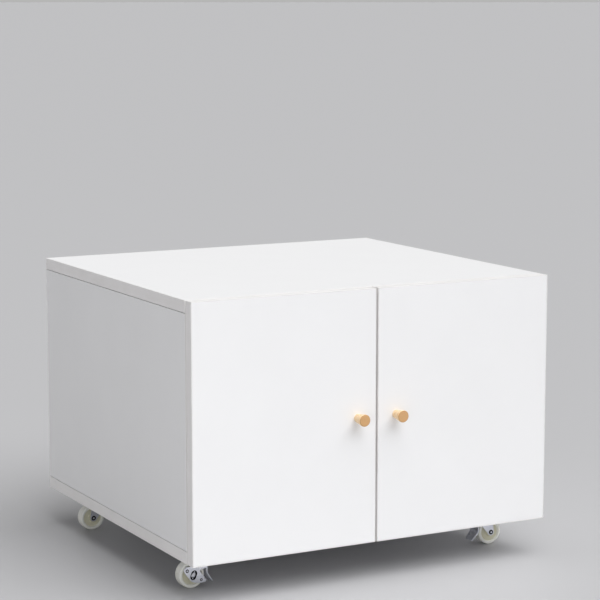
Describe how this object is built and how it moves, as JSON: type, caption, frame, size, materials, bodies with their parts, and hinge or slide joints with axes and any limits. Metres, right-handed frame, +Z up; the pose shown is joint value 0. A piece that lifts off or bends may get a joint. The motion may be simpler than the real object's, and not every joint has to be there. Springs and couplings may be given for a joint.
{
  "type": "mobile printer stand",
  "caption": "Low mobile printer stand: a white box cabinet with paired hinged doors, turned wooden knobs and swivel casters, some with brake pedals.",
  "frame": {"origin": "on the floor under the middle of the overall box, which runs from the knob tips to the back edges of the boards", "axes": "+X to the right along the doors, -Y towards the doors and the person using the stand, +Z up"},
  "size_m": [0.6, 0.574, 0.438],
  "materials": {
    "carcass_board": "white melamine-faced particle board, satin",
    "door_board": "white melamine-faced particle board, satin, edge-banded",
    "knob_beech": "turned beech, clear satin lacquer",
    "hinge_nickel": "nickel-plated pressed steel",
    "screw_steel": "bright zinc-plated steel",
    "caster_zinc": "zinc-plated pressed steel",
    "wheel_nylon": "moulded ivory nylon"
  },
  "bodies": {
    "carcass": {"top_panel": "carcass_board", "bottom_panel": "carcass_board", "left_side_panel": "carcass_board", "right_side_panel": "carcass_board", "back_panel": "carcass_board", "left_lower_hinge_mounting_plate": "hinge_nickel", "left_lower_hinge_arm": "hinge_nickel", "left_upper_hinge_mounting_plate": "hinge_nickel", "left_upper_hinge_arm": "hinge_nickel", "right_lower_hinge_mounting_plate": "hinge_nickel", "right_lower_hinge_arm": "hinge_nickel", "right_upper_hinge_mounting_plate": "hinge_nickel", "right_upper_hinge_arm": "hinge_nickel", "front_left_caster_plate": "caster_zinc", "front_left_bearing_race": "caster_zinc", "front_left_kingpin": "caster_zinc", "front_right_caster_plate": "caster_zinc", "front_right_bearing_race": "caster_zinc", "front_right_kingpin": "caster_zinc", "rear_left_caster_plate": "caster_zinc", "rear_left_bearing_race": "caster_zinc", "rear_left_kingpin": "caster_zinc", "rear_right_caster_plate": "caster_zinc", "rear_right_bearing_race": "caster_zinc", "rear_right_kingpin": "caster_zinc"},
    "left_door": {"left_door": "door_board", "left_knob": "knob_beech", "left_knob_screw": "screw_steel", "left_lower_hinge_cup": "hinge_nickel", "left_upper_hinge_cup": "hinge_nickel"},
    "left_outer_links": {"left_lower_hinge_outer_link": "hinge_nickel", "left_upper_hinge_outer_link": "hinge_nickel"},
    "left_inner_links": {"left_lower_hinge_inner_link": "hinge_nickel", "left_upper_hinge_inner_link": "hinge_nickel"},
    "right_door": {"right_door": "door_board", "right_knob": "knob_beech", "right_knob_screw": "screw_steel", "right_lower_hinge_cup": "hinge_nickel", "right_upper_hinge_cup": "hinge_nickel"},
    "right_outer_links": {"right_lower_hinge_outer_link": "hinge_nickel", "right_upper_hinge_outer_link": "hinge_nickel"},
    "right_inner_links": {"right_lower_hinge_inner_link": "hinge_nickel", "right_upper_hinge_inner_link": "hinge_nickel"},
    "front_left_fork": {"front_left_fork": "caster_zinc", "front_left_axle": "caster_zinc"},
    "front_left_wheel": {"front_left_wheel": "wheel_nylon"},
    "front_left_brake_pedal": {"front_left_brake_pedal": "caster_zinc"},
    "front_right_fork": {"front_right_fork": "caster_zinc", "front_right_axle": "caster_zinc"},
    "front_right_wheel": {"front_right_wheel": "wheel_nylon"},
    "front_right_brake_pedal": {"front_right_brake_pedal": "caster_zinc"},
    "rear_left_fork": {"rear_left_fork": "caster_zinc", "rear_left_axle": "caster_zinc"},
    "rear_left_wheel": {"rear_left_wheel": "wheel_nylon"},
    "rear_right_fork": {"rear_right_fork": "caster_zinc", "rear_right_axle": "caster_zinc"},
    "rear_right_wheel": {"rear_right_wheel": "wheel_nylon"}
  },
  "joints": [
    {"name": "left_outer_link_turn", "type": "hinge", "parent": "carcass", "child": "left_outer_links", "pos_m": [-0.2761, -0.233, 0.248], "axis": [0, 0, -1], "range_deg": [-39, 1]},
    {"name": "left_inner_link_turn", "type": "hinge", "parent": "carcass", "child": "left_inner_links", "pos_m": [-0.262, -0.2415, 0.248], "axis": [0, 0, -1], "range_deg": [-23, 1]},
    {"name": "left_door_swing", "type": "hinge", "parent": "left_outer_links", "child": "left_door", "pos_m": [-0.2916, -0.2514, 0.248], "axis": [0, 0, -1], "range_deg": [0, 133]},
    {"name": "right_outer_link_turn", "type": "hinge", "parent": "carcass", "child": "right_outer_links", "pos_m": [0.2761, -0.233, 0.248], "axis": [0, 0, 1], "range_deg": [-39, 1]},
    {"name": "right_inner_link_turn", "type": "hinge", "parent": "carcass", "child": "right_inner_links", "pos_m": [0.262, -0.2415, 0.248], "axis": [0, 0, 1], "range_deg": [-23, 1]},
    {"name": "right_door_swing", "type": "hinge", "parent": "right_outer_links", "child": "right_door", "pos_m": [0.2916, -0.2514, 0.248], "axis": [0, 0, 1], "range_deg": [0, 133]},
    {"name": "front_left_caster_swivel", "type": "hinge", "parent": "carcass", "child": "front_left_fork", "pos_m": [-0.247, -0.168, 0.05], "axis": [0, 0, 1], "continuous": true},
    {"name": "front_left_wheel_roll", "type": "hinge", "parent": "front_left_fork", "child": "front_left_wheel", "pos_m": [-0.26, -0.168, 0.02], "axis": [0, 1, 0], "continuous": true},
    {"name": "front_left_brake_press", "type": "hinge", "parent": "front_left_fork", "child": "front_left_brake_pedal", "pos_m": [-0.27, -0.168, 0.0283], "axis": [0, 1, 0], "range_deg": [0, 8]},
    {"name": "front_right_caster_swivel", "type": "hinge", "parent": "carcass", "child": "front_right_fork", "pos_m": [0.247, -0.168, 0.05], "axis": [0, 0, 1], "continuous": true},
    {"name": "front_right_wheel_roll", "type": "hinge", "parent": "front_right_fork", "child": "front_right_wheel", "pos_m": [0.26, -0.168, 0.02], "axis": [0, 1, 0], "continuous": true},
    {"name": "front_right_brake_press", "type": "hinge", "parent": "front_right_fork", "child": "front_right_brake_pedal", "pos_m": [0.27, -0.168, 0.0283], "axis": [0, -1, 0], "range_deg": [0, 8]},
    {"name": "rear_left_caster_swivel", "type": "hinge", "parent": "carcass", "child": "rear_left_fork", "pos_m": [-0.247, 0.21, 0.05], "axis": [0, 0, 1], "continuous": true},
    {"name": "rear_left_wheel_roll", "type": "hinge", "parent": "rear_left_fork", "child": "rear_left_wheel", "pos_m": [-0.26, 0.21, 0.02], "axis": [0, 1, 0], "continuous": true},
    {"name": "rear_right_caster_swivel", "type": "hinge", "parent": "carcass", "child": "rear_right_fork", "pos_m": [0.247, 0.21, 0.05], "axis": [0, 0, 1], "continuous": true},
    {"name": "rear_right_wheel_roll", "type": "hinge", "parent": "rear_right_fork", "child": "rear_right_wheel", "pos_m": [0.26, 0.21, 0.02], "axis": [0, 1, 0], "continuous": true}
  ],
  "couplings": [
    {"joint": "left_outer_link_turn", "follows": "left_door_swing", "ratio": -0.28571},
    {"joint": "left_inner_link_turn", "follows": "left_door_swing", "ratio": -0.16429},
    {"joint": "right_outer_link_turn", "follows": "right_door_swing", "ratio": -0.28571},
    {"joint": "right_inner_link_turn", "follows": "right_door_swing", "ratio": -0.16429}
  ]
}
